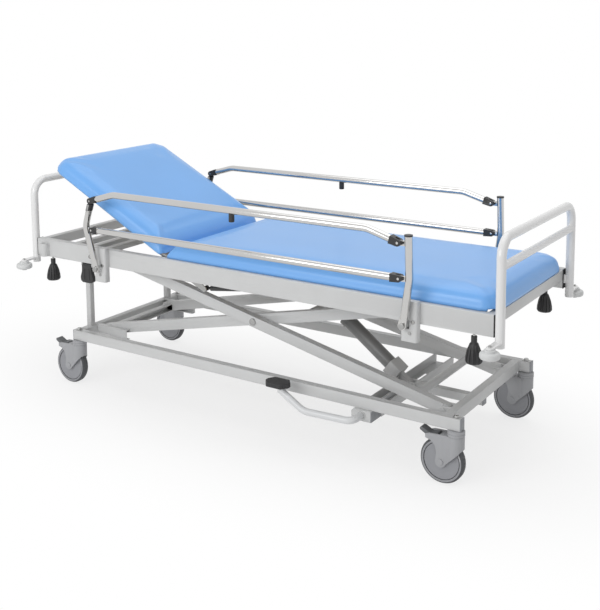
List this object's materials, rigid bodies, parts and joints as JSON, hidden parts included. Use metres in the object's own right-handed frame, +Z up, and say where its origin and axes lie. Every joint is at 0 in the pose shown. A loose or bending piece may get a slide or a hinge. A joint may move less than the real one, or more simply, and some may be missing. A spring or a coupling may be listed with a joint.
{
  "type": "patient transport stretcher",
  "caption": "Height-adjustable patient stretcher with scissor lift, raising backrest, folding chrome side rails and padded two-part top.",
  "frame": {"origin": "on the floor, under the middle of the bed frame's overall box", "axes": "+X from the head end to the foot end, +Y to the right side, +Z up"},
  "size_m": [2.052, 0.842, 0.9202],
  "materials": {
    "frame_paint": "satin",
    "bow_paint": "gloss",
    "chrome": "polished",
    "black_plastic": "matte",
    "grey_plastic": "matte",
    "light_plastic": "satin",
    "tyre": "matte",
    "steel": "brushed",
    "pump_paint": "satin",
    "board": "matte",
    "vinyl": "satin"
  },
  "bodies": {
    "base": {"base_rail_left": "frame_paint", "base_rail_right": "frame_paint", "base_cross_tubes": "frame_paint", "arm_base_mounts": "frame_paint", "pump_channel": "frame_paint", "pedal_housing": "frame_paint", "caster_stems": "steel", "tube_end_caps": "grey_plastic"},
    "outer_arms": {"outer_arms": "frame_paint"},
    "inner_arms": {"inner_arms": "frame_paint"},
    "platform": {"side_member_left": "frame_paint", "side_member_right": "frame_paint", "platform_cross_tubes": "frame_paint", "arm_platform_mounts": "frame_paint", "side_rail_brackets": "frame_paint", "backrest_hinge_leaves": "steel", "leg_board": "board", "leg_pad": "vinyl", "member_end_plugs": "black_plastic"},
    "pump_cylinder": {"pump_cylinder": "pump_paint"},
    "pump_rod": {"pump_rod": "steel"},
    "pedal": {"pedal_lever": "frame_paint", "pedal_pad": "black_plastic"},
    "backrest": {"backrest_frame": "board", "backrest_pad": "vinyl"},
    "gas_cylinder": {"gas_spring_cylinder": "black_plastic"},
    "gas_rod": {"gas_spring_rod": "steel"},
    "head_bow": {"head_bow": "bow_paint"},
    "foot_bow": {"foot_bow": "bow_paint"},
    "release_handle": {"release_handle": "black_plastic"},
    "bumper_head_left": {"bumper_head_left": "light_plastic"},
    "knob_head_left": {"clamp_knob_head_left": "black_plastic"},
    "fork_head_left": {"caster_fork_head_left": "grey_plastic"},
    "wheel_head_left": {"caster_wheel_head_left": "tyre"},
    "brake_head_left": {"brake_pedal_head_left": "grey_plastic"},
    "bumper_foot_left": {"bumper_foot_left": "light_plastic"},
    "knob_foot_left": {"clamp_knob_foot_left": "black_plastic"},
    "fork_foot_left": {"caster_fork_foot_left": "grey_plastic"},
    "wheel_foot_left": {"caster_wheel_foot_left": "tyre"},
    "brake_foot_left": {"brake_pedal_foot_left": "grey_plastic"},
    "bumper_head_right": {"bumper_head_right": "light_plastic"},
    "knob_head_right": {"clamp_knob_head_right": "black_plastic"},
    "fork_head_right": {"caster_fork_head_right": "grey_plastic"},
    "wheel_head_right": {"caster_wheel_head_right": "tyre"},
    "brake_head_right": {"brake_pedal_head_right": "grey_plastic"},
    "bumper_foot_right": {"bumper_foot_right": "light_plastic"},
    "knob_foot_right": {"clamp_knob_foot_right": "black_plastic"},
    "fork_foot_right": {"caster_fork_foot_right": "grey_plastic"},
    "wheel_foot_right": {"caster_wheel_foot_right": "tyre"},
    "brake_foot_right": {"brake_pedal_foot_right": "grey_plastic"},
    "head_post_left": {"head_post_left": "chrome"},
    "foot_post_left": {"foot_post_left": "chrome"},
    "top_bar_left": {"top_bar_left": "chrome"},
    "lower_bar_left": {"lower_bar_left": "chrome"},
    "rail_latch_left": {"rail_latch_left": "steel"},
    "head_post_right": {"head_post_right": "chrome"},
    "foot_post_right": {"foot_post_right": "chrome"},
    "top_bar_right": {"top_bar_right": "chrome"},
    "lower_bar_right": {"lower_bar_right": "chrome"},
    "rail_latch_right": {"rail_latch_right": "steel"}
  },
  "joints": [
    {"name": "lift", "type": "hinge", "parent": "base", "child": "outer_arms", "pos_m": [0.776, 0, 0.205], "axis": [0, 1, 0], "range_deg": [0, 11.5]},
    {"name": "arm_crossing", "type": "hinge", "parent": "outer_arms", "child": "inner_arms", "pos_m": [0.017, 0, 0.3715], "axis": [0, 1, 0], "range_deg": [-23, 0]},
    {"name": "bed_level", "type": "hinge", "parent": "inner_arms", "child": "platform", "pos_m": [0.776, 0, 0.538], "axis": [0, 1, 0], "range_deg": [0, 11.5]},
    {"name": "pump_swing", "type": "hinge", "parent": "base", "child": "pump_cylinder", "pos_m": [0.536, 0, 0.173], "axis": [0, 1, 0], "range_deg": [0, 20.02]},
    {"name": "pump_rod_eye", "type": "hinge", "parent": "inner_arms", "child": "pump_rod", "pos_m": [0.213, 0, 0.4145], "axis": [0, 1, 0], "range_deg": [0, 31.52]},
    {"name": "foot_pedal", "type": "hinge", "parent": "base", "child": "pedal", "pos_m": [0.526, -0.386, 0.169], "axis": [0, -1, 0], "range_deg": [0, 14], "stiffness_Nm_per_rad": 14, "springref_deg": -34.38},
    {"name": "backrest_hinge", "type": "hinge", "parent": "platform", "child": "backrest", "pos_m": [-0.335, 0, 0.576], "axis": [0, 1, 0], "range_deg": [-27.1, 33]},
    {"name": "gas_spring_bolt", "type": "hinge", "parent": "backrest", "child": "gas_cylinder", "pos_m": [-0.15429, -0.279, 0.48352], "axis": [0, 1, 0], "range_deg": [-43.78, 35.95]},
    {"name": "gas_spring_stroke", "type": "slide", "parent": "gas_cylinder", "child": "gas_rod", "axis": [0.9907, 0, 0.1362], "range_m": [-0.05838, 0.07108]},
    {"name": "release_handle_pivot", "type": "hinge", "parent": "platform", "child": "release_handle", "pos_m": [-0.711, -0.321, 0.503], "axis": [-1, 0, 0], "range_deg": [0, 20], "stiffness_Nm_per_rad": 1, "springref_deg": -14.32},
    {"name": "head_bow_pull", "type": "slide", "parent": "platform", "child": "head_bow", "axis": [-1, 0, 0], "range_m": [0, 0.1]},
    {"name": "foot_bow_pull", "type": "slide", "parent": "platform", "child": "foot_bow", "axis": [1, 0, 0], "range_m": [0, 0.1]},
    {"name": "bumper_spin_head_left", "type": "hinge", "parent": "head_bow", "child": "bumper_head_left", "pos_m": [-0.995, -0.39, 0.48], "axis": [0, 0, 1], "continuous": true},
    {"name": "knob_turn_head_left", "type": "hinge", "parent": "platform", "child": "knob_head_left", "pos_m": [-0.912, -0.313, 0.44], "axis": [0, 0, 1], "continuous": true},
    {"name": "caster_swivel_head_left", "type": "hinge", "parent": "base", "child": "fork_head_left", "pos_m": [-0.788, -0.303, 0.17], "axis": [0, 0, 1], "continuous": true},
    {"name": "wheel_axle_head_left", "type": "hinge", "parent": "fork_head_left", "child": "wheel_head_left", "pos_m": [-0.832, -0.303, 0.075], "axis": [0, 1, 0], "continuous": true},
    {"name": "brake_head_left", "type": "hinge", "parent": "fork_head_left", "child": "brake_head_left", "pos_m": [-0.872, -0.303, 0.151], "axis": [0, -1, 0], "range_deg": [0, 12]},
    {"name": "bumper_spin_foot_left", "type": "hinge", "parent": "foot_bow", "child": "bumper_foot_left", "pos_m": [0.995, -0.39, 0.48], "axis": [0, 0, 1], "continuous": true},
    {"name": "knob_turn_foot_left", "type": "hinge", "parent": "platform", "child": "knob_foot_left", "pos_m": [0.912, -0.313, 0.44], "axis": [0, 0, 1], "continuous": true},
    {"name": "caster_swivel_foot_left", "type": "hinge", "parent": "base", "child": "fork_foot_left", "pos_m": [0.853, -0.303, 0.17], "axis": [0, 0, 1], "continuous": true},
    {"name": "wheel_axle_foot_left", "type": "hinge", "parent": "fork_foot_left", "child": "wheel_foot_left", "pos_m": [0.809, -0.303, 0.075], "axis": [0, 1, 0], "continuous": true},
    {"name": "brake_foot_left", "type": "hinge", "parent": "fork_foot_left", "child": "brake_foot_left", "pos_m": [0.769, -0.303, 0.151], "axis": [0, -1, 0], "range_deg": [0, 12]},
    {"name": "bumper_spin_head_right", "type": "hinge", "parent": "head_bow", "child": "bumper_head_right", "pos_m": [-0.995, 0.39, 0.48], "axis": [0, 0, 1], "continuous": true},
    {"name": "knob_turn_head_right", "type": "hinge", "parent": "platform", "child": "knob_head_right", "pos_m": [-0.912, 0.313, 0.44], "axis": [0, 0, 1], "continuous": true},
    {"name": "caster_swivel_head_right", "type": "hinge", "parent": "base", "child": "fork_head_right", "pos_m": [-0.788, 0.303, 0.17], "axis": [0, 0, 1], "continuous": true},
    {"name": "wheel_axle_head_right", "type": "hinge", "parent": "fork_head_right", "child": "wheel_head_right", "pos_m": [-0.832, 0.303, 0.075], "axis": [0, 1, 0], "continuous": true},
    {"name": "brake_head_right", "type": "hinge", "parent": "fork_head_right", "child": "brake_head_right", "pos_m": [-0.872, 0.303, 0.151], "axis": [0, -1, 0], "range_deg": [0, 12]},
    {"name": "bumper_spin_foot_right", "type": "hinge", "parent": "foot_bow", "child": "bumper_foot_right", "pos_m": [0.995, 0.39, 0.48], "axis": [0, 0, 1], "continuous": true},
    {"name": "knob_turn_foot_right", "type": "hinge", "parent": "platform", "child": "knob_foot_right", "pos_m": [0.912, 0.313, 0.44], "axis": [0, 0, 1], "continuous": true},
    {"name": "caster_swivel_foot_right", "type": "hinge", "parent": "base", "child": "fork_foot_right", "pos_m": [0.853, 0.303, 0.17], "axis": [0, 0, 1], "continuous": true},
    {"name": "wheel_axle_foot_right", "type": "hinge", "parent": "fork_foot_right", "child": "wheel_foot_right", "pos_m": [0.809, 0.303, 0.075], "axis": [0, 1, 0], "continuous": true},
    {"name": "brake_foot_right", "type": "hinge", "parent": "fork_foot_right", "child": "brake_foot_right", "pos_m": [0.769, 0.303, 0.151], "axis": [0, -1, 0], "range_deg": [0, 12]},
    {"name": "rail_fold_left", "type": "hinge", "parent": "platform", "child": "head_post_left", "pos_m": [-0.617, -0.37, 0.511], "axis": [0, 1, 0], "range_deg": [0, 76]},
    {"name": "foot_post_turn_left", "type": "hinge", "parent": "platform", "child": "foot_post_left", "pos_m": [0.695, -0.37, 0.511], "axis": [0, 1, 0], "range_deg": [0, 76]},
    {"name": "top_bar_turn_left", "type": "hinge", "parent": "head_post_left", "child": "top_bar_left", "pos_m": [-0.631, -0.37, 0.776], "axis": [0, 1, 0], "range_deg": [-76, 0]},
    {"name": "lower_bar_turn_left", "type": "hinge", "parent": "head_post_left", "child": "lower_bar_left", "pos_m": [-0.627, -0.37, 0.663], "axis": [0, 1, 0], "range_deg": [-76, 0]},
    {"name": "rail_latch_pull_left", "type": "slide", "parent": "platform", "child": "rail_latch_left", "axis": [0, -1, 0], "range_m": [0, 0.008], "stiffness_N_per_m": 400, "springref_m": -0.01},
    {"name": "rail_fold_right", "type": "hinge", "parent": "platform", "child": "head_post_right", "pos_m": [-0.617, 0.37, 0.511], "axis": [0, 1, 0], "range_deg": [0, 76]},
    {"name": "foot_post_turn_right", "type": "hinge", "parent": "platform", "child": "foot_post_right", "pos_m": [0.695, 0.37, 0.511], "axis": [0, 1, 0], "range_deg": [0, 76]},
    {"name": "top_bar_turn_right", "type": "hinge", "parent": "head_post_right", "child": "top_bar_right", "pos_m": [-0.631, 0.37, 0.776], "axis": [0, 1, 0], "range_deg": [-76, 0]},
    {"name": "lower_bar_turn_right", "type": "hinge", "parent": "head_post_right", "child": "lower_bar_right", "pos_m": [-0.627, 0.37, 0.663], "axis": [0, 1, 0], "range_deg": [-76, 0]},
    {"name": "rail_latch_pull_right", "type": "slide", "parent": "platform", "child": "rail_latch_right", "axis": [0, 1, 0], "range_m": [0, 0.008], "stiffness_N_per_m": 400, "springref_m": -0.01}
  ],
  "couplings": [
    {"joint": "arm_crossing", "follows": "lift", "ratio": -2},
    {"joint": "bed_level", "follows": "lift", "ratio": 1},
    {"joint": "pump_swing", "follows": "lift", "ratio": 1.7402},
    {"joint": "pump_rod_eye", "follows": "lift", "ratio": 2.7402},
    {"joint": "gas_spring_bolt", "follows": "backrest_hinge", "ratio": -1.3263},
    {"joint": "gas_spring_stroke", "follows": "backrest_hinge", "m_per_rad": 0.1234},
    {"joint": "foot_post_turn_left", "follows": "rail_fold_left", "ratio": 1},
    {"joint": "top_bar_turn_left", "follows": "rail_fold_left", "ratio": -1},
    {"joint": "lower_bar_turn_left", "follows": "rail_fold_left", "ratio": -1},
    {"joint": "foot_post_turn_right", "follows": "rail_fold_right", "ratio": 1},
    {"joint": "top_bar_turn_right", "follows": "rail_fold_right", "ratio": -1},
    {"joint": "lower_bar_turn_right", "follows": "rail_fold_right", "ratio": -1}
  ]
}
